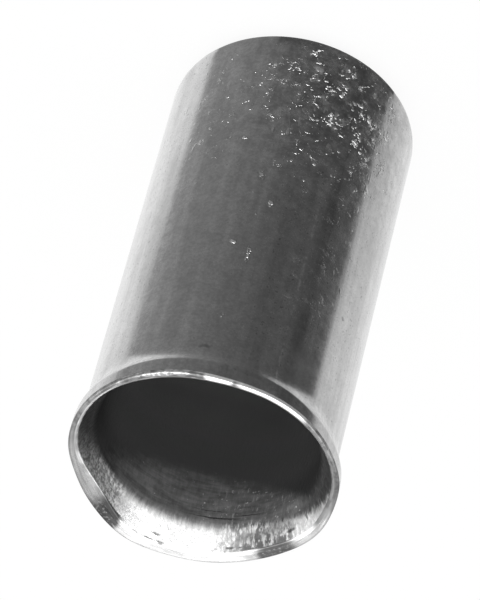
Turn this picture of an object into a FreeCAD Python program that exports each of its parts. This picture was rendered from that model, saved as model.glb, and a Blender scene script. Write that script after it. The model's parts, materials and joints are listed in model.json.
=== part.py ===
import FreeCAD, Part
import math
import os
import Sketcher

# Cable housing ferrule: a plated metal cup, drawn from sheet in one piece.
# It stands on its closed end, centred on the Z axis, with its open mouth on top.
# The housing goes down the bore onto the end wall, and the inner wire goes on
# through the small hole there. The mouth is flared into a collar, which is the
# largest diameter, and opens inside as a bell that guides the housing in.

NODE_NAME = "ferrule_shell"

# Driving dimensions, in millimetres: name in the sheet, size, what it measures.
DIMENSIONS = (
    ("overall_length", 11.9, "closed end to rim"),
    ("shell_diameter", 6.0, "outside of the straight shell"),
    ("wall_thickness", 0.38, "side wall, which leaves the bore"),
    ("end_wall_thickness", 0.4, "wall across the closed end"),
    ("end_corner_radius", 0.45, "outside corner of the closed end"),
    ("end_inside_radius", 0.12, "inside corner, where the housing lands"),
    ("wire_hole_diameter", 2.3, "hole for the inner wire"),
    ("wire_hole_edge_radius", 0.1, "outside edge of the wire hole"),
    ("collar_rise", 0.175, "collar above the shell, on the radius"),
    ("collar_land_length", 0.45, "straight outside of the collar"),
    ("step_length", 0.37, "slope between shell and collar, along the axis"),
    ("step_root_radius", 0.5, "hollow curve from the shell into the slope"),
    ("step_crest_radius", 0.3, "rounded shoulder from the slope onto the collar"),
    ("rim_face_width", 0.22, "flat end face of the rim"),
    ("rim_edge_radius", 0.05, "edges of the rim face"),
    ("bell_depth", 0.85, "depth of the flared lead-in below the rim"),
    ("bell_root_radius", 0.3, "curve from the lead-in into the bore"),
)

# Share of the slope that each of its two curves may take up, so that they never meet.
ROOT_SHARE_OF_SLOPE = 0.6
CREST_SHARE_OF_SLOPE = 0.35
# Share of the rim face that one rounded edge may take up.
EDGE_SHARE_OF_RIM = 0.4
# Two lengths closer than this, in millimetres, are the same.
SAME_LENGTH = 1e-4

# How a sketch numbers the points of its lines and circles, and its own origin.
LINE_START, LINE_END, CIRCLE_CENTRE = 1, 2, 3
ORIGIN_POINT = (-1, 1)
# The two directions in which a sketch measures.
ACROSS, UPWARDS = "DistanceX", "DistanceY"


def make_sheet(doc):
    """Write the driving dimensions into a spreadsheet, one named cell each."""
    sheet = doc.addObject("Spreadsheet::Sheet", "Sizes")
    for row, (alias, size, meaning) in enumerate(DIMENSIONS, start=1):
        sheet.set(f"A{row}", alias)
        sheet.set(f"B{row}", str(size))
        sheet.set(f"C{row}", meaning)
        sheet.setAlias(f"B{row}", alias)
    doc.recompute()
    return sheet


def origin_plane(body, role):
    """The plane of the body's own origin that plays the given role."""
    return next(item for item in body.Origin.OriginFeatures if item.Role == role)


def add_sketch(body, name, role):
    """Start an empty sketch on one of the body's origin planes."""
    sketch = body.newObject("Sketcher::SketchObject", name)
    sketch.AttachmentSupport = (origin_plane(body, role), [""])
    sketch.MapMode = "FlatFace"
    return sketch


def add_span(sketch, name, kind, start, end, expression):
    """Fix the width or height between two points, and bind it to the sheet."""
    low, high = sketch.getPoint(*start), sketch.getPoint(*end)
    size = high.x - low.x if kind == ACROSS else high.y - low.y
    index = sketch.addConstraint(Sketcher.Constraint(kind, *start, *end, size))
    sketch.renameConstraint(index, name)
    sketch.setExpression(f"Constraints.{name}", expression)


def key_sizes(sheet):
    """The radii and heights at which the outline turns."""
    shell_radius = sheet.shell_diameter / 2
    collar_radius = shell_radius + sheet.collar_rise
    collar_start = sheet.overall_length - sheet.collar_land_length
    return {
        "shell_radius": shell_radius,
        "bore_radius": shell_radius - sheet.wall_thickness,
        "collar_radius": collar_radius,
        "mouth_radius": collar_radius - sheet.rim_face_width,
        "wire_hole_radius": sheet.wire_hole_diameter / 2,
        "collar_start": collar_start,
        "step_start": collar_start - sheet.step_length,
        "bell_start": sheet.overall_length - sheet.bell_depth,
        "top": sheet.overall_length,
        "floor": sheet.end_wall_thickness,
    }


def draw_cup_section(body, key):
    """Half section of the cup, with sharp corners, to the right of the axis."""
    sketch = add_sketch(body, "CupSection", "XZ_Plane")
    corners = (
        (0, 0),
        (key["shell_radius"], 0),
        (key["shell_radius"], key["step_start"]),
        (key["collar_radius"], key["collar_start"]),
        (key["collar_radius"], key["top"]),
        (key["mouth_radius"], key["top"]),
        (key["bore_radius"], key["bell_start"]),
        (key["bore_radius"], key["floor"]),
        (0, key["floor"]),
    )
    points = [FreeCAD.Vector(radius, height, 0) for radius, height in corners]
    for start, end in zip(points, points[1:] + points[:1]):
        sketch.addGeometry(Part.LineSegment(start, end))

    lines = range(len(points))
    under, side, slope, land, rim, bell, bore, floor, axis = lines
    for line, following in zip(lines, (*lines[1:], under)):
        joined = Sketcher.Constraint("Coincident", line, LINE_END, following, LINE_START)
        sketch.addConstraint(joined)
    sketch.addConstraint(Sketcher.Constraint("Coincident", under, LINE_START, *ORIGIN_POINT))
    for line in (under, rim, floor):
        sketch.addConstraint(Sketcher.Constraint("Horizontal", line))
    for line in (side, land, bore, axis):
        sketch.addConstraint(Sketcher.Constraint("Vertical", line))

    foot = (under, LINE_START)
    corner = (under, LINE_END)
    step_foot = (slope, LINE_START)
    step_top = (slope, LINE_END)
    rim_outside = (rim, LINE_START)
    rim_inside = (rim, LINE_END)
    bell_foot = (bell, LINE_END)
    bore_foot = (bore, LINE_END)
    add_span(sketch, "shell_radius", ACROSS, foot, corner, "Sizes.shell_diameter / 2")
    add_span(sketch, "wall_thickness", ACROSS, bore_foot, corner, "Sizes.wall_thickness")
    add_span(sketch, "collar_rise", ACROSS, step_foot, step_top, "Sizes.collar_rise")
    add_span(sketch, "rim_face_width", ACROSS, rim_inside, rim_outside, "Sizes.rim_face_width")
    add_span(sketch, "overall_length", UPWARDS, foot, rim_outside, "Sizes.overall_length")
    add_span(sketch, "step_length", UPWARDS, step_foot, step_top, "Sizes.step_length")
    add_span(sketch, "collar_land_length", UPWARDS, step_top, rim_outside, "Sizes.collar_land_length")
    add_span(sketch, "bell_depth", UPWARDS, bell_foot, rim_inside, "Sizes.bell_depth")
    add_span(sketch, "end_wall_thickness", UPWARDS, foot, bore_foot, "Sizes.end_wall_thickness")
    return sketch


def turn_cup(body, section):
    """Turn the half section round the Z axis into the closed cup."""
    cup = body.newObject("PartDesign::Revolution", "Cup")
    cup.Profile = section
    cup.ReferenceAxis = (section, ["V_Axis"])
    cup.Angle = 360
    return cup


def pierce_wire_hole(body, key):
    """Pierce the closed end in the middle for the inner wire."""
    sketch = add_sketch(body, "WireHoleCircle", "XY_Plane")
    centre = FreeCAD.Vector(0, 0, 0)
    upwards = FreeCAD.Vector(0, 0, 1)
    circle = sketch.addGeometry(Part.Circle(centre, upwards, key["wire_hole_radius"]))
    sketch.addConstraint(Sketcher.Constraint("Coincident", circle, CIRCLE_CENTRE, *ORIGIN_POINT))
    diameter = sketch.addConstraint(Sketcher.Constraint("Diameter", circle, 2 * key["wire_hole_radius"]))
    sketch.renameConstraint(diameter, "wire_hole_diameter")
    sketch.setExpression("Constraints.wire_hole_diameter", "Sizes.wire_hole_diameter")

    hole = body.newObject("PartDesign::Pocket", "WireHole")
    hole.Profile = sketch
    hole.Reversed = True
    hole.setExpression("Length", "Sizes.end_wall_thickness")
    return hole


def ring_names(shape, rings):
    """Names of the shape's circular edges that have one of the radii and heights."""
    names = []
    for number, edge in enumerate(shape.Edges, start=1):
        if not isinstance(edge.Curve, Part.Circle):
            continue
        radius, height = edge.Curve.Radius, edge.Curve.Center.z
        if any(math.hypot(radius - r, height - z) < SAME_LENGTH for r, z in rings):
            names.append(f"Edge{number}")
    return names


def round_rings(body, name, rings, expression):
    """Round the circular edges at the given radii and heights."""
    body.Document.recompute()
    base = body.Tip
    names = ring_names(base.Shape, rings)
    if len(names) != len(rings):
        raise ValueError(f"{name}: found {len(names)} of {len(rings)} edges")
    fillet = body.newObject("PartDesign::Fillet", name)
    fillet.Base = (base, names)
    fillet.setExpression("Radius", expression)
    return fillet


def slope_limit(share):
    """Largest radius of a curve that takes up the given share of the slope."""
    slope = "sqrt(Sizes.step_length ^ 2 + Sizes.collar_rise ^ 2)"
    half_turn = "atan(Sizes.collar_rise / Sizes.step_length) / 2"
    return f"{share} * {slope} / tan({half_turn})"


def round_edges(body, key):
    """Round the corners that drawing, flaring and piercing leave."""
    shell, collar, bore = key["shell_radius"], key["collar_radius"], key["bore_radius"]
    rim_limit = f"{EDGE_SHARE_OF_RIM} * Sizes.rim_face_width"
    root = f"min(Sizes.step_root_radius; {slope_limit(ROOT_SHARE_OF_SLOPE)})"
    crest = f"min(Sizes.step_crest_radius; {slope_limit(CREST_SHARE_OF_SLOPE)})"
    rim = f"min(Sizes.rim_edge_radius; {rim_limit})"

    round_rings(body, "EndCorner", [(shell, 0)], "Sizes.end_corner_radius")
    round_rings(body, "EndInsideCorner", [(bore, key["floor"])], "Sizes.end_inside_radius")
    round_rings(body, "StepRoot", [(shell, key["step_start"])], root)
    round_rings(body, "StepCrest", [(collar, key["collar_start"])], crest)
    round_rings(body, "BellRoot", [(bore, key["bell_start"])], "Sizes.bell_root_radius")
    round_rings(body, "RimEdges", [(collar, key["top"]), (key["mouth_radius"], key["top"])], rim)
    round_rings(body, "WireHoleEdge", [(key["wire_hole_radius"], 0)], "Sizes.wire_hole_edge_radius")


def make_shell(doc, sheet):
    """The whole ferrule: turned cup, pierced end, rounded corners."""
    key = key_sizes(sheet)
    body = doc.addObject("PartDesign::Body", "FerruleShell")
    body.Label = NODE_NAME
    cup = turn_cup(body, draw_cup_section(body, key))
    doc.recompute()
    cup_volume = cup.Shape.Volume
    hole = pierce_wire_hole(body, key)
    doc.recompute()
    if hole.Shape.Volume >= cup_volume:
        raise ValueError("the wire hole cut nothing")
    round_edges(body, key)
    doc.recompute()
    return body


def check_model(doc, parts):
    """Stop if any object failed or any sub-part has no sound shape."""
    for item in doc.Objects:
        if "Invalid" in item.State or "Error" in item.State:
            raise ValueError(f"{item.Name} failed: {item.State}")
    for part in parts:
        if part.Shape.isNull() or not part.Shape.isValid() or len(part.Shape.Solids) != 1:
            raise ValueError(f"{part.Label} is not one sound solid")


def export_parts(parts):
    """Write each sub-part to a file named after its label."""
    os.makedirs("parts", exist_ok=True)
    for part in parts:
        part.Shape.exportStep(f"parts/{part.Label}.step")
        print(f"{part.Label}: {part.Shape.Volume:.3f} mm3")


document = FreeCAD.newDocument("CableHousingFerrule")
sizes = make_sheet(document)
ferrule_parts = [make_shell(document, sizes)]
check_model(document, ferrule_parts)
export_parts(ferrule_parts)
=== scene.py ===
import json
import math

import bpy
import numpy as np
from mathutils import Matrix, Vector


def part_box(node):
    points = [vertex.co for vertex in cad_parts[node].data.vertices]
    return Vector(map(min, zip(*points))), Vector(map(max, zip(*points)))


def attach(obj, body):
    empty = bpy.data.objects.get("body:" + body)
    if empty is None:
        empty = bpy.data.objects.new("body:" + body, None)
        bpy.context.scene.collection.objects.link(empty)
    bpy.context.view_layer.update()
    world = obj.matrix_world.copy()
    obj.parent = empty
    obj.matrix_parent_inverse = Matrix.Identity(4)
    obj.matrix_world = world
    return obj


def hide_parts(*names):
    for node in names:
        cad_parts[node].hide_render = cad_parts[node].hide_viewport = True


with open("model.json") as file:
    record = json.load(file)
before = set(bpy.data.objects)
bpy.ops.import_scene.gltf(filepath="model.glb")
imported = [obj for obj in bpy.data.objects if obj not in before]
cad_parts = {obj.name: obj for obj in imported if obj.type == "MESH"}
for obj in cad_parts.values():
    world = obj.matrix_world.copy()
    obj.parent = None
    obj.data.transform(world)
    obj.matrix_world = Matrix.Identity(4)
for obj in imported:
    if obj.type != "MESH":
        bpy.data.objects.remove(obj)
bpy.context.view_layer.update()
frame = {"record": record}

# Sizes are in metres, and in millimetres where a name ends in _MM. Angles round the ferrule
# are in degrees from +X towards +Y. The camera stands at -Y, which is 270 degrees.
MM = 0.001
SHELL_NODE = "ferrule_shell"
CAMERA_ANGLE = 270
FAR_SIDE = 90


def mount_size(name, key):
    """One size of one of the record's mounts, in metres."""
    mount = next(m for m in frame["record"]["mounts"] if m["name"] == name)
    return mount["dims"][key] * MM


# Sizes that the frame gives.
LOWEST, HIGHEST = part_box(SHELL_NODE)
LENGTH = HIGHEST.z - LOWEST.z
COLLAR_RADIUS = HIGHEST.x
SHELL_RADIUS = mount_size("shell_seat", "r_mm")
BORE_RADIUS = mount_size("housing_bore", "r_mm")
WIRE_HOLE_RADIUS = mount_size("wire_hole", "r_mm")
SHELL_RADIUS_MM = SHELL_RADIUS / MM

# Sizes of the section that the frame doesn't name. They are as on the solid, apart from two
# roundings: the step's root is softer, as worn, and the wire hole's inner edge isn't sharp.
END_WALL = 0.4 * MM
END_CORNER = 0.45 * MM
END_INSIDE_CORNER = 0.12 * MM
WIRE_HOLE_EDGE = 0.1 * MM
WIRE_HOLE_INNER_EDGE = 0.05 * MM
COLLAR_LAND = 0.45 * MM
STEP_LENGTH = 0.37 * MM
STEP_ROOT = 1.1 * MM
STEP_CREST = 0.3 * MM
RIM_FACE = 0.22 * MM
RIM_OUTER_EDGE = 0.05 * MM
RIM_INNER_EDGE = 0.05 * MM
BELL_DEPTH = 0.85 * MM
BELL_ROOT = 0.3 * MM
COLLAR_START_LIP_SHARE = 0.7

# Fineness of the turned mesh.
AROUND = 360
ROWS_PER_ARC = 8

# How far the worn lip stands out of round: middle angle, half width, and shift outwards.
LIP_SHIFTS = (
    (24, 13, -0.05 * MM),
    (66, 18, 0.10 * MM),
    (96, 16, 0.025 * MM),
    (156, 16, 0.055 * MM),
    (190, 10, 0.03 * MM),
    (268, 20, -0.05 * MM),
)
# How far it stands up: middle angle, half width, and lift.
LIP_LIFTS = ((68, 18, 0.07 * MM), (96, 16, 0.03 * MM), (268, 20, 0.05 * MM))
# How the inner edge of the rim face wanders: middle angle, half width, and shift outwards.
RIM_FACE_SHIFTS = (
    (40, 22, -0.25 * MM),
    (84, 20, -0.10 * MM),
    (130, 22, -0.11 * MM),
    (212, 30, 0.12 * MM),
    (262, 28, 0.115 * MM),
    (330, 32, 0.11 * MM),
)
# How far the rim face leans outwards: middle angle, half width, and slope.
RIM_LEANS = ((20, 38, 0.10), (140, 25, 0.08), (200, 40, 0.10), (320, 22, 0.08))


def bumps(angles, places):
    """Sum of smooth bumps round the ferrule, each with a middle angle, a half width and a height."""
    total = np.zeros_like(angles)
    for middle, half_width, height in places:
        away = (angles - middle + 180) % 360 - 180
        total += height * np.exp(-((away / half_width) ** 2))
    return total


def arc_rows(before, corner, after, radius):
    """Points of the arc that rounds a corner of the section, from the side before to the side after."""
    inwards = corner - before
    outwards = after - corner
    inwards /= np.linalg.norm(inwards, axis=-1, keepdims=True)
    outwards /= np.linalg.norm(outwards, axis=-1, keepdims=True)
    cross = inwards[:, 0] * outwards[:, 1] - inwards[:, 1] * outwards[:, 0]
    turn = np.arctan2(cross, (inwards * outwards).sum(-1))
    reach = (radius * np.tan(np.abs(turn) / 2))[:, None]
    start = corner - reach * inwards
    side = np.sign(turn)[:, None] * np.stack((-inwards[:, 1], inwards[:, 0]), -1)
    centre = start + radius * side
    rows = []
    for share in np.linspace(0, 1, ROWS_PER_ARC):
        angle = (np.abs(turn) * share)[:, None]
        rows.append(centre - radius * side * np.cos(angle) + radius * inwards * np.sin(angle))
    return rows


# The finish of the straight that leads to each corner of the section, and of its rounding.
OUTSIDE, LIP, INSIDE = 0, 1, 2
SKINS = (
    (INSIDE, INSIDE),
    (INSIDE, OUTSIDE),
    (OUTSIDE, OUTSIDE),
    (OUTSIDE, OUTSIDE),
    (OUTSIDE, OUTSIDE),
    (OUTSIDE, LIP),
    (LIP, INSIDE),
    (INSIDE, INSIDE),
    (INSIDE, INSIDE),
)


def section_rows(angles):
    """Radius and height of every row of the wall, at every angle, and the finish of each row."""
    lip = bumps(angles, LIP_SHIFTS)
    mouth = COLLAR_RADIUS - RIM_FACE + lip + bumps(angles, RIM_FACE_SHIFTS)
    top = LENGTH + bumps(angles, LIP_LIFTS)
    lean = (COLLAR_RADIUS + lip - mouth) * bumps(angles, RIM_LEANS)
    collar_start = LENGTH - COLLAR_LAND
    step_start = collar_start - STEP_LENGTH
    # each corner: radius, height, radius of its rounding, rows on the straight that leads to it
    corners = (
        (WIRE_HOLE_RADIUS, END_WALL, WIRE_HOLE_INNER_EDGE, 10),
        (WIRE_HOLE_RADIUS, 0, WIRE_HOLE_EDGE, 4),
        (SHELL_RADIUS, 0, END_CORNER, 6),
        (SHELL_RADIUS, step_start, STEP_ROOT, 90),
        (COLLAR_RADIUS + lip * COLLAR_START_LIP_SHARE, collar_start, STEP_CREST, 4),
        (COLLAR_RADIUS + lip, top - lean, RIM_OUTER_EDGE, 4),
        (mouth, top, RIM_INNER_EDGE, 5),
        (BORE_RADIUS, LENGTH - BELL_DEPTH, BELL_ROOT, 14),
        (BORE_RADIUS, END_WALL, END_INSIDE_CORNER, 40),
    )
    ones = np.ones_like(angles)
    places = [np.stack((radius * ones, height * ones), -1) for radius, height, _, _ in corners]
    arcs = []
    for index, (_, _, rounding, _) in enumerate(corners):
        before, after = places[index - 1], places[(index + 1) % len(corners)]
        arcs.append(arc_rows(before, places[index], after, rounding))
    rows = []
    skins = []
    for index, (_, _, _, straight_rows) in enumerate(corners):
        start, end = arcs[index - 1][-1], arcs[index][0]
        for share in np.linspace(0, 1, straight_rows + 2)[1:-1]:
            rows.append(start * (1 - share) + end * share)
        rows.extend(arcs[index])
        straight_skin, arc_skin = SKINS[index]
        skins.extend([straight_skin] * straight_rows + [arc_skin] * ROWS_PER_ARC)
    return np.array(rows), skins


def link_mesh(name, points, faces, materials):
    """New object with a mesh of its own."""
    mesh = bpy.data.meshes.new(name)
    mesh.from_pydata(points, [], faces)
    for material in materials:
        mesh.materials.append(material)
    thing = bpy.data.objects.new(name, mesh)
    bpy.context.scene.collection.objects.link(thing)
    return thing


def make_shell():
    """The ferrule as one turned, slightly worn skin."""
    angles = np.arange(AROUND) * 360 / AROUND
    rows, skins = section_rows(angles)
    turn = np.radians(angles)
    x = rows[:, :, 0] * np.cos(turn)
    y = rows[:, :, 0] * np.sin(turn)
    points = np.stack((x, y, rows[:, :, 1]), -1).reshape(-1, 3)
    count = len(rows)
    row, column = np.meshgrid(np.arange(count), np.arange(AROUND), indexing="ij")
    next_row, next_column = (row + 1) % count, (column + 1) % AROUND
    corners = (row, column), (row, next_column), (next_row, next_column), (next_row, column)
    faces = np.stack([r * AROUND + c for r, c in corners], -1).reshape(-1, 4)
    finishes = (shell_finish(), lip_finish(), mouth_finish())
    shell = link_mesh("shell_skin", points.tolist(), faces.tolist(), finishes)
    polygons = shell.data.polygons
    polygons.foreach_set("use_smooth", np.ones(len(faces), bool))
    # the faces between two rows have the finish of the row that they lead to
    polygons.foreach_set("material_index", np.repeat(np.roll(skins, -1), AROUND))
    return shell


class NodeTree:
    """A material's nodes, put down with short calls. Places and lengths are in millimetres."""

    def __init__(self, name):
        self.material = bpy.data.materials.new(name)
        self.material.use_nodes = True
        self.nodes = self.material.node_tree.nodes
        self.links = self.material.node_tree.links
        self.output = self.nodes["Material Output"].inputs["Surface"]
        self.shader = self.nodes["Principled BSDF"].inputs

    def plug(self, socket, value):
        """Link another node to a socket, or set the socket to a constant."""
        if isinstance(value, bpy.types.NodeSocket):
            self.links.new(value, socket)
        else:
            socket.default_value = value

    def add(self, kind, inputs, **settings):
        """New node with its settings and inputs."""
        node = self.nodes.new(kind)
        for name, value in settings.items():
            setattr(node, name, value)
        for name, value in inputs.items():
            self.plug(node.inputs[name], value)
        return node

    def place(self):
        """Position on the piece, in millimetres."""
        position = self.add("ShaderNodeTexCoord", {}).outputs["Object"]
        return self.vector("SCALE", {0: position, "Scale": 1 / MM})

    def vector(self, operation, inputs):
        """Vector sum, product, length or the like."""
        node = self.add("ShaderNodeVectorMath", inputs, operation=operation)
        return node.outputs["Value" if operation == "LENGTH" else "Vector"]

    def maths(self, operation, *values):
        """Sum, product or the like of numbers."""
        return self.add("ShaderNodeMath", dict(enumerate(values)), operation=operation).outputs[0]

    def product(self, *values):
        """Product of two or more numbers."""
        result = values[0]
        for value in values[1:]:
            result = self.maths("MULTIPLY", result, value)
        return result

    def highest(self, *values):
        """Largest of two or more numbers."""
        result = values[0]
        for value in values[1:]:
            result = self.maths("MAXIMUM", result, value)
        return result

    def ramp(self, value, start, end, low=0.0, high=1.0):
        """Smooth step from low, where the value is at start, to high, where it is at end."""
        inputs = {"Value": value, "From Min": start, "From Max": end, "To Min": low, "To Max": high}
        return self.add("ShaderNodeMapRange", inputs, interpolation_type="SMOOTHSTEP").outputs[0]

    def window(self, value, start, full, fading, end):
        """Mask that rises smoothly from start to full, and falls again from fading to end."""
        return self.product(self.ramp(value, start, full), self.ramp(value, end, fading))

    def blend(self, share, low, high):
        """Straight blend from low, where the share is 0, to high, where it is 1."""
        inputs = {"Value": share, "To Min": low, "To Max": high}
        return self.add("ShaderNodeMapRange", inputs).outputs[0]

    def noise(self, place, scale, detail=3.0, roughness=0.5, stretch=(1, 1, 1)):
        """Cloudy noise around 0.5, with so many features per millimetre."""
        if stretch != (1, 1, 1):
            place = self.vector("MULTIPLY", {0: place, 1: stretch})
        inputs = {"Vector": place, "Scale": scale, "Detail": detail, "Roughness": roughness}
        return self.add("ShaderNodeTexNoise", inputs).outputs["Fac"]

    def spot(self, place, centre, radii, edge=0.4):
        """Mask of an ellipsoid round a place, soft at its edge."""
        away = self.vector("SUBTRACT", {0: place, 1: centre})
        reach = self.vector("LENGTH", {0: self.vector("DIVIDE", {0: away, 1: radii})})
        return self.ramp(reach, 1 + edge, 1 - edge)

    def angle(self, place, middle):
        """Degrees round the ferrule from the middle angle, from -180 to 180."""
        turned = self.add("ShaderNodeVectorRotate", {"Vector": place, "Angle": -math.radians(middle)})
        split = self.add("ShaderNodeSeparateXYZ", {0: turned.outputs[0]}).outputs
        return self.maths("DEGREES", self.maths("ARCTAN2", split["Y"], split["X"]))

    def height(self, place):
        """Height above the closed end."""
        return self.add("ShaderNodeSeparateXYZ", {0: place}).outputs["Z"]

    def unrolled(self, place, middle):
        """Place on the wall laid flat: length round from the middle angle, radius and height."""
        flat = self.vector("MULTIPLY", {0: place, 1: (1, 1, 0)})
        radius = self.vector("LENGTH", {0: flat})
        round_length = self.product(self.angle(place, middle), math.radians(1), SHELL_RADIUS_MM)
        inputs = {"X": round_length, "Y": radius, "Z": self.height(place)}
        return self.add("ShaderNodeCombineXYZ", inputs).outputs[0]

    def bump(self, height, depth, before=None):
        """Normal of a surface whose relief is so many millimetres deep."""
        inputs = {"Height": height, "Distance": depth * MM}
        if before is not None:
            inputs["Normal"] = before
        return self.add("ShaderNodeBump", inputs).outputs[0]

    def plate(self, tone, roughness, reliefs):
        """Make the surface metal. Each relief is a pattern and its depth."""
        self.shader["Metallic"].default_value = 1
        self.plug(self.shader["Base Color"], tone)
        self.plug(self.shader["Roughness"], roughness)
        normal = None
        for pattern, depth in reliefs:
            normal = self.bump(pattern, depth, normal)
        self.plug(self.shader["Normal"], normal)
        return self.material


def on_wall(angle, height, radius=SHELL_RADIUS_MM):
    """Position in millimetres of a point on a round wall."""
    turn = math.radians(angle)
    return radius * math.cos(turn), radius * math.sin(turn), height


# Single marks: angle round the ferrule, height, half width and half height in millimetres, strength.
LIGHT_MARKS = (
    (278, 5.1, 0.05, 0.13, 0.5),
    (271, 5.95, 0.05, 0.10, 0.5),
    (275, 7.75, 0.03, 0.22, 0.5),
    (283, 7.4, 0.08, 0.06, 0.5),
    (279, 9.8, 0.03, 0.08, 0.3),
    (262, 5.8, 0.20, 0.08, 0.12),
    (265, 1.15, 0.12, 0.10, 0.5),
    (221, 1.2, 0.06, 0.06, 0.5),
)
DARK_MARKS = (
    (283, 10.85, 0.16, 0.05, 0.8),
    (221, 8.0, 0.05, 0.08, 1.0),
    (214, 7.85, 0.04, 0.05, 1.0),
    (218, 8.3, 0.03, 0.05, 0.8),
    (211, 11.72, 0.07, 0.05, 1.0),
    (205, 11.80, 0.05, 0.04, 1.0),
    (198, 11.76, 0.06, 0.04, 0.8),
    (252, 11.6, 0.05, 0.05, 0.5),
)
BELL_MARKS = (
    (68, 11.915, 0.14, 0.018, 0.8),
    (74, 11.92, 0.20, 0.020, 0.9),
    (80, 11.92, 0.12, 0.035, 1.0),
    (77, 11.75, 0.11, 0.030, 0.9),
    (113, 11.74, 0.11, 0.030, 0.9),
    (119, 11.74, 0.07, 0.020, 0.8),
    (147, 11.64, 0.13, 0.045, 0.9),
    (104, 11.01, 0.55, 0.022, 1.0),
    (122, 10.92, 0.45, 0.018, 0.9),
    (101, 10.80, 0.40, 0.018, 0.8),
    (42, 11.72, 0.30, 0.02, 0.5),
)
SHELL_MARK_RAGGED_MM = 0.2
BELL_MARK_RAGGED_MM = 0.05
BELL_MIDDLE_RADIUS_MM = 2.86
MARK_WARP_SCALE = 9.0
MARK_EDGE = 0.5


def single_marks(tree, place, marks, radius, ragged):
    """Mask of single marks on a round wall, whose edges wander by the ragged length."""
    warp = tree.add("ShaderNodeTexNoise", {"Vector": place, "Scale": MARK_WARP_SCALE}).outputs["Color"]
    warped = tree.vector("MULTIPLY_ADD", {0: warp, 1: (ragged, ragged, ragged), 2: place})
    total = 0.0
    for angle, height, half_width, half_height, strength in marks:
        centre = [value + ragged / 2 for value in on_wall(angle, height, radius)]
        spot = tree.spot(warped, centre, (half_width, half_width, half_height), MARK_EDGE)
        total = tree.highest(total, tree.product(spot, strength))
    return total


PLATE_TONE = 0.66
PLATE_TONE_SPREAD = 0.05
SHELL_ROUGHNESS = 0.17
STEP_ROUGHNESS = 0.23
STEP_MIDDLE_MM = 11.2
# How far from the step's middle its roughness begins and is full.
STEP_REACH_MM = (0.4, 0.2)
FLECK_TONE = 0.75
FLECK_ROUGHNESS = 0.6
SPECK_TONE = 0.6

# Where the shell is worn: angle round and height of the middle, half sizes in millimetres, softness.
WORN_END = (249, 1.4, (2.0, 2.0, 2.8), 0.9)
WORN_WIDE = (262, 2.5, (3.4, 3.4, 4.5), 0.9)
WORN_STRIP = (247, 7.0, (1.4, 1.4, 5.5), 0.6)

# Stripes along the shell, in degrees round from the camera's side: where each begins, is full,
# begins to fade and ends.
DARK_STRIPE = (-32, -28, -26, -22)
LIGHT_STRIPE = (-22, -21, -21, -20)
DARK_STRIPE_TONE = 0.62
LIGHT_STRIPE_GAIN = 0.6

# Pairs, here and below, are where a change begins and where it is complete. The light stripe
# fades in and the flecks thin out between these heights.
LIGHT_STRIPE_FROM_MM = (4, 7)
FLECKS_THIN_OUT_MM = (4.0, 5.5)
# The specks grow thicker between these degrees, either way from the camera's side.
SPECKS_THICKEN = (45, 55)


def worn_mask(tree, place, worn):
    """Soft mask of one of the worn places."""
    angle, height, half_sizes, softness = worn
    return tree.spot(place, on_wall(angle, height), half_sizes, softness)


def shell_stripes(tree, place):
    """Lengthwise stripes that the drawing die left: brightness of the plating, where 1 is plain."""
    turned = tree.angle(place, CAMERA_ANGLE)
    waver = tree.noise(place, 1.5, stretch=(1, 1, 0.3))
    broken = tree.noise(place, 6, detail=3)
    soft = tree.noise(place, 2.2, detail=2, stretch=(1, 1, 0.08))
    dark = tree.product(tree.window(turned, *DARK_STRIPE), tree.ramp(waver, 0.35, 0.65))
    light = tree.product(
        tree.window(turned, *LIGHT_STRIPE),
        tree.ramp(tree.height(place), *LIGHT_STRIPE_FROM_MM),
        tree.ramp(waver, 0.35, 0.7),
        tree.ramp(broken, 0.42, 0.62),
    )
    ripples = tree.ramp(soft, 0.35, 0.65, 0.9, 1.08)
    brightness = tree.product(tree.blend(dark, 1.0, DARK_STRIPE_TONE), ripples)
    return tree.maths("ADD", brightness, tree.product(light, LIGHT_STRIPE_GAIN))


def shell_flecks(tree, place, worn_end, worn_strip):
    """Mask of the small scuffs: thickest near the closed end, dim down the worn strip."""
    worn_wide = worn_mask(tree, place, WORN_WIDE)
    rarity = tree.maths("SUBTRACT", tree.blend(worn_wide, 0.12, 0.035), tree.product(worn_end, 0.06))
    rarity = tree.maths("MINIMUM", rarity, tree.blend(worn_strip, 1.0, -0.015))
    broad = tree.noise(place, 3.2, detail=4, roughness=0.72)
    small = tree.noise(place, 8, detail=2)
    thin = tree.noise(place, 6, detail=2, stretch=(1, 1, 0.35))
    broad = tree.ramp(tree.maths("SUBTRACT", broad, rarity), 0.55, 0.72)
    small = tree.ramp(tree.maths("SUBTRACT", small, rarity), 0.60, 0.72, 0, 0.7)
    thin = tree.ramp(tree.maths("SUBTRACT", thin, rarity), 0.59, 0.72, 0, 0.5)
    patches = tree.ramp(tree.noise(place, 2.3, detail=1), 0.35, 0.65, 0.15, 1.0)
    near_end = tree.highest(worn_end, tree.blend(worn_wide, 0.3, 0.75))
    thinned = tree.ramp(tree.height(place), *FLECKS_THIN_OUT_MM, 1.0, 0.45)
    return tree.product(tree.highest(broad, small, thin), patches, near_end, thinned)


def shell_specks(tree, place, grain, worn_strip):
    """Mask of the dark specks, more of them to the left and right and down the worn strip."""
    from_camera = tree.maths("ABSOLUTE", tree.angle(place, CAMERA_ANGLE))
    grain = tree.maths("ADD", grain, tree.ramp(from_camera, *SPECKS_THICKEN, 0.0, 0.07))
    least, most = tree.blend(worn_strip, 0.66, 0.58), tree.blend(worn_strip, 0.74, 0.68)
    marks = single_marks(tree, place, DARK_MARKS, SHELL_RADIUS_MM, SHELL_MARK_RAGGED_MM)
    return tree.highest(tree.ramp(grain, least, most), marks)


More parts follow.
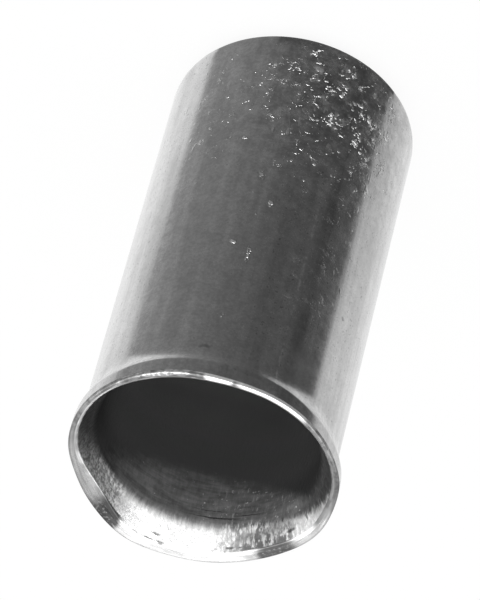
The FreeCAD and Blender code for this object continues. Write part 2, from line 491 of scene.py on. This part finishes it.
def shell_finish():
    """Polished plating outside, with drawing lines, flecks and specks."""
    tree = NodeTree("shell_plating")
    place = tree.place()
    clouds = tree.noise(place, 0.9, detail=4)
    mottle = tree.noise(place, 3, detail=5, roughness=0.65)
    grain = tree.noise(place, 12, detail=3, roughness=0.6)
    lines = tree.noise(place, 9, detail=2, stretch=(1, 1, 0.03))
    worn_end = worn_mask(tree, place, WORN_END)
    worn_strip = worn_mask(tree, place, WORN_STRIP)
    marks = single_marks(tree, place, LIGHT_MARKS, SHELL_RADIUS_MM, SHELL_MARK_RAGGED_MM)
    flecks = tree.highest(shell_flecks(tree, place, worn_end, worn_strip), marks)
    specks = shell_specks(tree, place, grain, worn_strip)
    tone = tree.product(
        tree.blend(clouds, PLATE_TONE - PLATE_TONE_SPREAD, PLATE_TONE + PLATE_TONE_SPREAD),
        shell_stripes(tree, place),
        tree.blend(specks, 1.0, SPECK_TONE),
        tree.ramp(mottle, 0.3, 0.7, tree.blend(worn_end, 0.92, 0.62), 1.06),
        tree.ramp(grain, 0.3, 0.7, 0.93, 1.07),
        tree.ramp(lines, 0.3, 0.7, 0.97, 1.03),
    )
    tone = tree.blend(flecks, tone, FLECK_TONE)
    roughest = tree.blend(worn_end, SHELL_ROUGHNESS + 0.04, 0.3)
    roughness = tree.ramp(mottle, 0.3, 0.7, SHELL_ROUGHNESS - 0.03, roughest)
    off_step = tree.maths("ABSOLUTE", tree.maths("SUBTRACT", tree.height(place), STEP_MIDDLE_MM))
    step_roughness = tree.product(tree.ramp(off_step, *STEP_REACH_MM), STEP_ROUGHNESS)
    roughness = tree.highest(roughness, step_roughness)
    roughness = tree.blend(flecks, roughness, FLECK_ROUGHNESS)
    return tree.plate(tone, roughness, ((lines, 0.0008), (mottle, 0.0003), (flecks, 0.03)))


# Stretches of the rim face: where each begins, is full, begins to fade and ends. These are in
# degrees round from the far side, and the near side begins either way from there.
LIP_STAIN_LEFT = (-56, -42, -32, -29)
LIP_BETWEEN_STAINS = (-20, 20)
LIP_STAIN_RIGHT = (34, 38, 52, 60)
LIP_GREY_LEFT = (-110, -90, -40, -30)
LIP_GREY_RIGHT = (50, 60, 100, 120)
LIP_NEAR_SIDE = (75, 105)
# These are in degrees round from the camera's side.
LIP_MOTTLE_BRIGHTENS = (-90, -50)
LIP_WORN = (-42, -33, -9, -4)
LIP_WORN_SPOT = (-4, -1, 7, 10)
LIP_WORN_DOTS = (9, 12, 38, 55)

# Tones of those stretches: the metal's own, or a share of it.
LIP_WORN_TONE = 0.9
LIP_STAIN_LEFT_SHARE = 0.15
LIP_STAIN_RIGHT_SHARE = 0.2
LIP_GREY_LEFT_SHARE = 0.64
LIP_GREY_RIGHT_SHARE = 0.8
LIP_DULL_ROUGHNESS = 0.6
LIP_NEAR_ROUGHNESS = 0.42
# The rim face's scratches are laid flat from this angle round, so their seam is opposite it.
LIP_UNROLLED_FROM = 200


def lip_stains(tree, turned, fine):
    """Mask of the two dark stains on the rim face."""
    stains = tree.highest(tree.window(turned, *LIP_STAIN_LEFT), tree.window(turned, *LIP_STAIN_RIGHT))
    return tree.product(stains, tree.ramp(fine, 0.70, 0.52, 0.6, 1.0))


def lip_wear(tree, from_camera, scratches, fine):
    """Mask of the bright, rubbed stretches on the near side of the rim."""
    dots = tree.product(
        tree.window(from_camera, *LIP_WORN_DOTS),
        tree.ramp(scratches, 0.5, 0.6),
        tree.ramp(fine, 0.4, 0.55, 0.1, 0.6),
    )
    return tree.highest(
        tree.window(from_camera, *LIP_WORN),
        tree.window(from_camera, *LIP_WORN_SPOT),
        dots,
    )


def lip_finish():
    """Cut rim, scratched round, stained in places and worn bright on its near side."""
    tree = NodeTree("lip_plating")
    place = tree.place()
    unrolled = tree.unrolled(place, LIP_UNROLLED_FROM)
    scratches = tree.noise(unrolled, 12, detail=3, roughness=0.6, stretch=(0.08, 1, 1))
    grain = tree.noise(place, 5, detail=4)
    nicks = tree.noise(place, 1.6, detail=3)
    fine = tree.noise(place, 11, detail=2)
    turned = tree.angle(place, FAR_SIDE)
    from_camera = tree.angle(place, CAMERA_ANGLE)
    stains = lip_stains(tree, turned, fine)
    worn = lip_wear(tree, from_camera, scratches, fine)
    near_side = tree.ramp(tree.maths("ABSOLUTE", turned), *LIP_NEAR_SIDE)
    dull = tree.product(near_side, tree.ramp(worn, 1, 0))
    mottled = tree.ramp(grain, 0.40, 0.60, 0.32, 0.60)
    mottled = tree.product(mottled, tree.ramp(from_camera, *LIP_MOTTLE_BRIGHTENS, 0.65, 1.0))
    stained = tree.ramp(turned, *LIP_BETWEEN_STAINS, LIP_STAIN_LEFT_SHARE, LIP_STAIN_RIGHT_SHARE)
    tone = tree.product(
        tree.ramp(nicks, 0.3, 0.7, 0.48, 0.62),
        tree.ramp(scratches, 0.3, 0.7, 0.7, 1.15),
        tree.blend(stains, 1.0, stained),
        tree.blend(dull, 1.0, mottled),
    )
    tone = tree.product(
        tree.blend(worn, tone, LIP_WORN_TONE),
        tree.blend(tree.window(turned, *LIP_GREY_LEFT), 1.0, LIP_GREY_LEFT_SHARE),
        tree.blend(tree.window(turned, *LIP_GREY_RIGHT), 1.0, LIP_GREY_RIGHT_SHARE),
    )
    roughness = tree.blend(near_side, tree.blend(grain, 0.2, 0.35), LIP_NEAR_ROUGHNESS)
    roughness = tree.blend(dull, roughness, LIP_DULL_ROUGHNESS)
    return tree.plate(tone, roughness, ((nicks, 0.010), (scratches, 0.003)))


BELL_ROOT_HEIGHT_MM = (LENGTH - BELL_DEPTH) / MM
BELL_ROUGHNESS = 0.45
# Share of the brightness that the single marks leave.
MARKED_SHARE = 0.2

# Where the parts of the bell begin, in degrees round from the far side. Its middle is plain. To
# the left it is speckled, and to the right stroked, with calm patches further round.
BELL_SPECKLED = (-32, -42)
BELL_STROKED = (8, 36)
BELL_CALM = (52, 62)
# Where the speckled part and the calm patches grow brighter.
SPECKLES_BRIGHTEN = (-80, -46)
CALM_BRIGHTENS = (50, 60)

# Where painted shade darkens the bell to the left and right, and the share of brightness left there.
BELL_PAINTED_SHADE_LEFT = (-42, -80)
BELL_PAINTED_SHADE_RIGHT = (24, 46)
PAINTED_SHADE_LEFT_SHARE = 0.16
PAINTED_SHADE_RIGHT_SHARE = 0.1
# How these borders slant, in degrees per millimetre of height, and how far the right one's jags
# reach, in degrees.
PAINTED_SHADE_LEFT_SLANT = 27
PAINTED_SHADE_RIGHT_SLANT = 72
PAINTED_SHADE_RIGHT_JAGS = 60

# Heights where the bell's rounded edge begins, and degrees round from the far side where its painted
# shade and highlight take over from the bell, to the left and right, and where it grows dim.
EDGE_FROM_MM = (11.83, 11.86)
EDGE_LEFT = (-28, -34)
EDGE_RIGHT = (12, 18)
EDGE_DIMS = (62, 72)
# Its stained stretches.
EDGE_STAIN_LEFT = (-58, -44, -34, -28)
EDGE_STAIN_RIGHT = (33, 42, 52, 62)
EDGE_STAIN_LEFT_TONE = 0.08
EDGE_STAIN_RIGHT_TONE = 0.12
# Its stretches with a painted highlight.
EDGE_PAINTED_HIGHLIGHT = (0, 10, 32, 40)
EDGE_PAINTED_HIGHLIGHT_SECOND = (54, 58, 68, 76)
EDGE_PAINTED_HIGHLIGHT_TONE = 0.9


def speckled_tone(tree, turned, strokes, fine):
    """Brightness of the bell's left part, which is speckled and falls off to the left."""
    return tree.product(
        tree.ramp(strokes, 0.35, 0.65, 0.5, 0.75),
        tree.ramp(fine, 0.38, 0.62, 0.6, 1.35),
        tree.ramp(turned, *SPECKLES_BRIGHTEN, 0.5, 1.3),
    )


def stroked_tone(tree, turned, strokes, patches):
    """Brightness of the bell's right part, which has dark strokes with calm patches between."""
    calm = tree.highest(tree.ramp(patches, 0.48, 0.3), tree.ramp(turned, *BELL_CALM, 0.0, 0.6))
    dashes = tree.ramp(strokes, 0.45, 0.60, 0.22, 0.95)
    return tree.blend(calm, dashes, tree.ramp(turned, *CALM_BRIGHTENS, 0.42, 1.0))


def painted_side_shade(tree, turned, rise, strokes):
    """Brightness left by the painted shade on the bell's left and right, lower down first."""
    left = tree.maths("ADD", turned, tree.product(rise, PAINTED_SHADE_LEFT_SLANT))
    left = tree.ramp(left, *BELL_PAINTED_SHADE_LEFT)
    jags = tree.product(tree.maths("SUBTRACT", strokes, 0.5), PAINTED_SHADE_RIGHT_JAGS)
    right = tree.maths("SUBTRACT", turned, tree.product(rise, PAINTED_SHADE_RIGHT_SLANT))
    right = tree.ramp(tree.maths("ADD", right, jags), *BELL_PAINTED_SHADE_RIGHT)
    return tree.product(tree.blend(left, 1.0, PAINTED_SHADE_LEFT_SHARE), tree.blend(right, 1.0, PAINTED_SHADE_RIGHT_SHARE))


def bell_edge_tone(tree, turned, patches, shown):
    """Brightness of the bell's rounded edge: painted shade in grey, with painted highlights and stains.
    """
    # the edge's grey is painted shade, brighter before EDGE_DIMS and dimmer past it
    tone = tree.blend(shown, 0.6, tree.ramp(turned, *EDGE_DIMS, 1.2, 0.6))
    tone = tree.product(tree.ramp(patches, 0.4, 0.6, 0.3, 0.5), tone)
    # painted highlights on stretches of the rounded edge
    bright = tree.highest(tree.window(turned, *EDGE_PAINTED_HIGHLIGHT), tree.window(turned, *EDGE_PAINTED_HIGHLIGHT_SECOND))
    tone = tree.blend(bright, tone, EDGE_PAINTED_HIGHLIGHT_TONE)
    tone = tree.blend(tree.window(turned, *EDGE_STAIN_LEFT), tone, EDGE_STAIN_LEFT_TONE)
    return tree.blend(tree.window(turned, *EDGE_STAIN_RIGHT), tone, EDGE_STAIN_RIGHT_TONE)


def bell_tone(tree, place, turned, strokes, shown):
    """Brightness of the burnished bell: plain behind, stroked on one side, painted shade left and right.
    """
    height = tree.height(place)
    patches = tree.noise(place, 1.8, detail=2)
    fine = tree.noise(place, 14, detail=2)
    plain = tree.ramp(strokes, 0.35, 0.6, 0.88, 0.95)
    speckled = speckled_tone(tree, turned, strokes, fine)
    stroked = stroked_tone(tree, turned, strokes, patches)
    tone = tree.blend(tree.ramp(turned, *BELL_SPECKLED), plain, speckled)
    tone = tree.blend(tree.ramp(turned, *BELL_STROKED), tone, stroked)
    rise = tree.maths("SUBTRACT", height, BELL_ROOT_HEIGHT_MM)
    # painted shade on the bell's left and right, reaching further round lower down
    tone = tree.product(tone, painted_side_shade(tree, turned, rise, strokes))
    tone = tree.blend(shown, tree.ramp(patches, 0.35, 0.65, 0.6, 0.8), tone)
    # the rounded edge takes a tone of painted shade and highlight
    beside = tree.highest(tree.ramp(turned, *EDGE_LEFT), tree.ramp(turned, *EDGE_RIGHT))
    edge = tree.product(tree.ramp(height, *EDGE_FROM_MM), beside)
    return tree.blend(edge, tone, bell_edge_tone(tree, turned, patches, shown))


BORE_TONE = 0.125
BORE_SPECK_TONE = 0.6
BORE_STREAK_TONE = 0.27
BORE_ROUGHNESS = 0.85
# Heights between which the plating thins out, and degrees round from the far side between which
# its border grows jagged.
PLATING_FROM_MM = (11.1, 11.55)
PLATING_JAGS = (15, 45)
# Degrees either way from the far side where the patterns begin and are full. The angle jumps from
# 180 to -180 on the near side, so they are left out there.
PATTERNS_SHOWN = (165, 112)
# Where the upper bore's specks thicken, where its streaks begin, and where its shade ends.
BORE_SPECKS_THICKEN = (-10, 20)
BORE_STREAKED = (5, 25)
BORE_SHADE_LEFT = (-65, -18)
BORE_SHADE_RIGHT = (95, 65)
# Below this height the bore is plain and dark: a painted shadow. Its border rises to the left and
# right, by so many millimetres for a square degree, and by this much at most.
PAINTED_SHADOW_HEIGHT_MM = 9.75
PAINTED_SHADOW_EDGE_RISE = 0.0003
PAINTED_SHADOW_EDGE_MOST_MM = 1.6
# How far above that border the upper bore's look begins and is full.
UPPER_FROM_MM = (-0.3, 0.2)
# Heights between which the painted shadow darkens further, and degrees between which its sides do.
DEEP_DARKENS_MM = (9.4, 10.75)
DEEP_SHADE_LEFT = (-50, -95)
DEEP_SHADE_RIGHT = (50, 95)
# Tones that paint light in deeper down, so that the painted shadow looks equally dark all the way
# down: at the lower height, and at the top.
DEEP_PAINTED_LIGHT_TONES = (0.56, 0.087)
DEEPEST_SEEN_MM = 5.5


def upper_bore_tone(tree, place, turned, strokes, scratches, fine, shown):
    """Brightness of the dull, scratched metal under the bell."""
    clouds = tree.noise(place, 2.5, detail=4)
    tone = tree.product(
        BORE_TONE,
        tree.ramp(strokes, 0.35, 0.65, 0.9, 1.1),
        tree.ramp(scratches, 0.3, 0.7, 0.8, 1.2),
        tree.ramp(clouds, 0.35, 0.65, 0.85, 1.15),
    )
    more_right = tree.product(tree.ramp(turned, *BORE_SPECKS_THICKEN, -0.02, 0.03), shown)
    specks = tree.ramp(tree.maths("ADD", fine, more_right), 0.66, 0.76, 0, 0.6)
    tone = tree.blend(specks, tone, BORE_SPECK_TONE)
    streaks = tree.product(tree.ramp(strokes, 0.56, 0.70), tree.ramp(turned, *BORE_STREAKED))
    tone = tree.blend(streaks, tone, BORE_STREAK_TONE)
    left = tree.ramp(turned, *BORE_SHADE_LEFT, 0.22, 1.0)
    right = tree.ramp(turned, *BORE_SHADE_RIGHT, 0.6, 1.0)
    return tree.product(tone, tree.blend(shown, 0.8, tree.product(left, right)))


def deep_painted_shadow_tone(tree, turned, height, shown):
    """Brightness of the painted shadow further down the bore."""
    left = tree.ramp(turned, *DEEP_SHADE_LEFT, 1.0, 0.35)
    right = tree.ramp(turned, *DEEP_SHADE_RIGHT, 1.0, 0.75)
    return tree.product(
        # painted light deeper down evens out the painted shadow
        tree.ramp(height, DEEPEST_SEEN_MM, PAINTED_SHADOW_HEIGHT_MM, *DEEP_PAINTED_LIGHT_TONES),
        tree.ramp(height, *DEEP_DARKENS_MM, 1.0, 0.45),
        tree.blend(shown, 0.6, tree.product(left, right)),
    )


def mouth_finish():
    """Burnished plating in the bell, thinning out to dull metal down the bore, with a painted shadow deep
    down.
    """
    tree = NodeTree("mouth_plating")
    place = tree.place()
    unrolled = tree.unrolled(place, FAR_SIDE)
    height = tree.height(place)
    turned = tree.angle(place, FAR_SIDE)
    shown = tree.ramp(tree.maths("ABSOLUTE", turned), *PATTERNS_SHOWN)
    strokes = tree.noise(unrolled, 9, detail=3, roughness=0.65, stretch=(1, 0, 0.38))
    strokes = tree.blend(shown, 0.5, strokes)
    scratches = tree.noise(unrolled, 9, detail=3, roughness=0.6, stretch=(0.15, 1, 1))
    scratches = tree.blend(shown, 0.5, scratches)
    fine = tree.noise(place, 9, detail=3, roughness=0.6)
    # border of the painted shadow deep in the bore, rising to the sides
    shadow_edge_rise = tree.maths("MINIMUM", tree.product(turned, turned, PAINTED_SHADOW_EDGE_RISE), PAINTED_SHADOW_EDGE_MOST_MM)
    shadow_edge = tree.maths("MULTIPLY_ADD", shadow_edge_rise, shown, PAINTED_SHADOW_HEIGHT_MM)
    shallow = tree.ramp(tree.maths("SUBTRACT", height, shadow_edge), *UPPER_FROM_MM)
    upper = upper_bore_tone(tree, place, turned, strokes, scratches, fine, shown)
    # below that border the bore carries the painted shadow
    bore_tone = tree.blend(shallow, deep_painted_shadow_tone(tree, turned, height, shown), upper)
    jags = tree.product(tree.maths("SUBTRACT", strokes, 0.5), tree.ramp(turned, *PLATING_JAGS, 0.15, 1.1))
    plated = tree.ramp(tree.maths("ADD", height, jags), *PLATING_FROM_MM)
    tone = tree.blend(plated, bore_tone, bell_tone(tree, place, turned, strokes, shown))
    marks = single_marks(tree, place, BELL_MARKS, BELL_MIDDLE_RADIUS_MM, BELL_MARK_RAGGED_MM)
    tone = tree.product(tone, tree.blend(marks, 1.0, MARKED_SHARE))
    roughness = tree.blend(plated, BORE_ROUGHNESS, BELL_ROUGHNESS)
    return tree.plate(tone, roughness, ((strokes, 0.02), (fine, 0.003)))


FLOOR_HALF = 0.6
FLOOR_TONE = 0.9
# How much of the floor the camera sees as plain white. The rest shows the shadow.
FLOOR_WHITE_SHARE = 0.9


def floor_finish():
    """Pale paper that the camera and the metal see as nearly plain white."""
    tree = NodeTree("floor")
    paper = tree.add("ShaderNodeBsdfDiffuse", {"Color": (FLOOR_TONE, FLOOR_TONE, FLOOR_TONE, 1)})
    white = tree.add("ShaderNodeEmission", {"Strength": 1.0})
    path = tree.add("ShaderNodeLightPath", {}).outputs
    seen = tree.product(path["Is Camera Ray"], FLOOR_WHITE_SHARE)
    seen = tree.highest(seen, path["Is Glossy Ray"], path["Is Transmission Ray"])
    mix = tree.add("ShaderNodeMixShader", {0: seen, 1: paper.outputs[0], 2: white.outputs[0]})
    tree.plug(tree.output, mix.outputs[0])
    return tree.material


def make_floor():
    """Plain pale floor under the closed end."""
    half = FLOOR_HALF
    points = [(-half, -half, 0), (half, -half, 0), (half, half, 0), (-half, half, 0)]
    link_mesh("floor", points, [(0, 1, 2, 3)], [floor_finish()])


# The shaded card on the floor in front, which only reflections see. Each stop is an angle of
# the shell's wall and the tone of the card that the camera sees mirrored there.
CARD_STOPS = (
    (180, 1.0),
    (212, 0.76),
    (225, 0.60),
    (227, 0.13),
    (240, 0.09),
    (270, 0.11),
    (274, 0.15),
    (294, 0.22),
    (319.5, 0.33),
    (322, 0.74),
    (331, 0.88),
    (345, 1.0),
)
CARD_STRIPS = 165
CARD_REACH = 60 * MM
CARD_HEIGHT = 0.01 * MM
# The card carries a painted shadow close round the foot: how far out, and its tone there.
FOOT_SHADOW_REACH = 0.2 * MM
FOOT_SHADOW_FADED = 0.7 * MM
FOOT_SHADOW_TONE = 0.11
FOOT_SHADOW_FROM, FOOT_SHADOW_TO = 222, 288
# The card's rings, from under the shell outwards: how much of the painted foot shadow each has.
FOOT_SHADOW_SHARES = (1.0, 1.0, 0.0, 0.0)
CARD_INNER_SHARE = 0.75


def card_finish(first, last):
    """Glow whose strength follows the card's stops, strip by strip, and a painted shadow at the foot."""
    tree = NodeTree("shaded_card")
    strip = tree.add("ShaderNodeAttribute", {}, attribute_name="strip").outputs["Fac"]
    tones = tree.add("ShaderNodeValToRGB", {"Fac": strip})
    elements = tones.color_ramp.elements
    for _ in CARD_STOPS[2:]:
        elements.new(0.5)
    for element, (angle, tone) in zip(elements, CARD_STOPS):
        element.position = (angle - first) / (last - first)
        element.color = (tone, tone, tone, 1)
    foot = tree.add("ShaderNodeAttribute", {}, attribute_name="foot").outputs["Fac"]
    # painted shadow round the foot, which only reflections see
    tone = tree.blend(foot, tones.outputs["Color"], FOOT_SHADOW_TONE)
    glow = tree.add("ShaderNodeEmission", {"Color": tone})
    tree.plug(tree.output, glow.outputs[0])
    return tree.material


def make_card():
    """Fan of strips on the floor, each where one upright line of the shell is mirrored."""
    first, last = CARD_STOPS[0][0], CARD_STOPS[-1][0]
    angles = np.linspace(first, last, CARD_STRIPS + 1)
    rings = len(FOOT_SHADOW_SHARES)
    points = []
    for angle in angles:
        turn = math.radians(angle)
        wall = Vector((math.cos(turn), math.sin(turn), 0)) * SHELL_RADIUS
        mirrored = math.radians(2 * angle - CAMERA_ANGLE)
        away = Vector((math.cos(mirrored), math.sin(mirrored), 0))
        places = [wall * CARD_INNER_SHARE]
        places.extend(wall + away * reach for reach in (FOOT_SHADOW_REACH, FOOT_SHADOW_FADED, CARD_REACH))
        points.extend((place.x, place.y, CARD_HEIGHT) for place in places)
    faces = []
    for corner in range(0, CARD_STRIPS * rings, rings):
        for ring in range(corner, corner + rings - 1):
            faces.append((ring, ring + 1, ring + 1 + rings, ring + rings))
    card = link_mesh("shaded_card", points, faces, [card_finish(first, last)])
    strip = card.data.attributes.new("strip", "FLOAT", "POINT")
    strip.data.foreach_set("value", np.repeat(np.linspace(0, 1, CARD_STRIPS + 1), rings))
    foot = card.data.attributes.new("foot", "FLOAT", "POINT")
    # strips that carry the painted shadow round the foot
    in_foot_shadow = np.where((angles > FOOT_SHADOW_FROM) & (angles < FOOT_SHADOW_TO), 1.0, 0.0)
    foot.data.foreach_set("value", np.outer(in_foot_shadow, FOOT_SHADOW_SHARES).ravel())
    only_in_reflections(card)


# The upright screen all round, far out, which only reflections see. It is white with soft darker
# stretches: middle angle, half width, and how dark.
SCREEN_RADIUS = 0.35
SCREEN_HEIGHT = 0.20
SCREEN_SIDES = 180
SCREEN_DARKS = ((24, 18, 0.75), (78, 16, 0.6), (140, 20, 0.8))
# The screen's rings, from the floor up: share of the height, and share of the darkness.
SCREEN_RINGS = ((0.001, 1.0), (0.5, 0.8), (1.0, 0.0))


def screen_finish():
    """Glow that follows the darkness stored on the screen."""
    tree = NodeTree("screen")
    dark = tree.add("ShaderNodeAttribute", {}, attribute_name="dark").outputs["Fac"]
    glow = tree.add("ShaderNodeEmission", {"Color": tree.blend(dark, 1.0, 0.0)})
    tree.plug(tree.output, glow.outputs[0])
    return tree.material


def only_in_reflections(thing):
    """Hide a thing from all but glossy rays."""
    thing.visible_camera = False
    thing.visible_diffuse = False
    thing.visible_shadow = False
    thing.visible_transmission = False


def make_screen():
    """White screen with dark stretches, which the polished wall mirrors in the side views."""
    angles = np.arange(SCREEN_SIDES) * 360 / SCREEN_SIDES
    turn = np.radians(angles)
    circle = np.stack((np.cos(turn), np.sin(turn)), -1) * SCREEN_RADIUS
    height_shares, dark_shares = zip(*SCREEN_RINGS)
    points = [(x, y, share * SCREEN_HEIGHT) for share in height_shares for x, y in circle]
    faces = []
    for ring in range(len(SCREEN_RINGS) - 1):
        for side in range(SCREEN_SIDES):
            corner = ring * SCREEN_SIDES + side
            after = ring * SCREEN_SIDES + (side + 1) % SCREEN_SIDES
            faces.append((corner, after, after + SCREEN_SIDES, corner + SCREEN_SIDES))
    screen = link_mesh("screen", points, faces, [screen_finish()])
    dark = screen.data.attributes.new("dark", "FLOAT", "POINT")
    around = np.clip(bumps(angles, SCREEN_DARKS), 0, 1)
    dark.data.foreach_set("value", np.outer(dark_shares, around).ravel())
    only_in_reflections(screen)


WORLD_DIFFUSE = 1.15


def make_world():
    """White surroundings, a little stronger as light than as seen."""
    world = bpy.data.worlds.new("surroundings")
    bpy.context.scene.world = world
    world.use_nodes = True
    nodes, links = world.node_tree.nodes, world.node_tree.links
    nodes["Background"].inputs["Color"].default_value = (1, 1, 1, 1)
    path = nodes.new("ShaderNodeLightPath")
    strength = nodes.new("ShaderNodeMapRange")
    strength.inputs["To Min"].default_value = 1
    strength.inputs["To Max"].default_value = WORLD_DIFFUSE
    links.new(path.outputs["Is Diffuse Ray"], strength.inputs["Value"])
    links.new(strength.outputs["Result"], nodes["Background"].inputs["Strength"])


# Soft lamps, which only reflections see: angle round the ferrule, elevation, width, height and
# brightness where white is 1.
SOFTBOX_DISTANCE = 0.2
SOFTBOXES = {
    "behind": (90, 43, 0.05, 0.05, 2.4),
    "in_front": (270, 26, 0.30, 0.10, 6.0),
    "left": (345, 26, 0.18, 0.10, 5.0),
    "right": (195, 26, 0.18, 0.10, 3.8),
}


def make_softboxes():
    """Soft lamps that the rim face and the bell mirror."""
    for name, (angle, elevation, width, height, brightness) in SOFTBOXES.items():
        lamp = bpy.data.lights.new(name, "AREA")
        lamp.shape = "RECTANGLE"
        lamp.size = width
        lamp.size_y = height
        lamp.energy = brightness * math.pi * width * height
        holder = bpy.data.objects.new(name, lamp)
        bpy.context.scene.collection.objects.link(holder)
        rise, turn = math.radians(elevation), math.radians(angle)
        level = math.cos(rise)
        towards = Vector((level * math.cos(turn), level * math.sin(turn), math.sin(rise)))
        holder.location = towards * SOFTBOX_DISTANCE + Vector((0, 0, LENGTH))
        holder.rotation_mode = "QUATERNION"
        holder.rotation_quaternion = towards.to_track_quat("Z", "Y")
        only_in_reflections(holder)


# The camera looks down into the mouth, turned on its own axis so that the mouth is below.
VIEW_ELEVATION = 43.55
VIEW_ROLL = 195.02
VIEW_DISTANCE = 126.8 * MM
VIEW_HEIGHT = 6.5 * MM
VIEW_SHIFT_RIGHT = -0.1335 * MM
VIEW_SHIFT_UP = 0.120 * MM
PHOTO_HEIGHT_PIXELS = 600
PIXELS_PER_MM = 42.101
SENSOR_SIDE = 36
CLIP_START, CLIP_END = 0.01, 3


def make_camera():
    """Camera at the photograph's angle, distance and framing."""
    data = bpy.data.cameras.new("camera")
    data.sensor_width = SENSOR_SIDE
    focal_pixels = PIXELS_PER_MM * VIEW_DISTANCE / MM
    data.lens = SENSOR_SIDE * focal_pixels / PHOTO_HEIGHT_PIXELS
    data.clip_start = CLIP_START
    data.clip_end = CLIP_END
    camera = bpy.data.objects.new("camera", data)
    bpy.context.scene.collection.objects.link(camera)
    bpy.context.scene.camera = camera
    rise = math.radians(VIEW_ELEVATION)
    back = Vector((0, -math.cos(rise), math.sin(rise)))
    upright = (-back).to_track_quat("-Z", "Y").to_matrix()
    turned = upright @ Matrix.Rotation(math.radians(VIEW_ROLL), 3, "Z")
    right, up = turned.col[0], turned.col[1]
    aim = Vector((0, 0, VIEW_HEIGHT)) + VIEW_SHIFT_RIGHT * right + VIEW_SHIFT_UP * up
    camera.location = aim + VIEW_DISTANCE * back
    camera.rotation_mode = "QUATERNION"
    camera.rotation_quaternion = turned.to_quaternion()


make_camera()
make_world()
make_floor()
make_card()
make_screen()
make_softboxes()
shell = make_shell()
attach(shell, "root")
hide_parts(SHELL_NODE)
bpy.context.scene.view_settings.view_transform = "Standard"
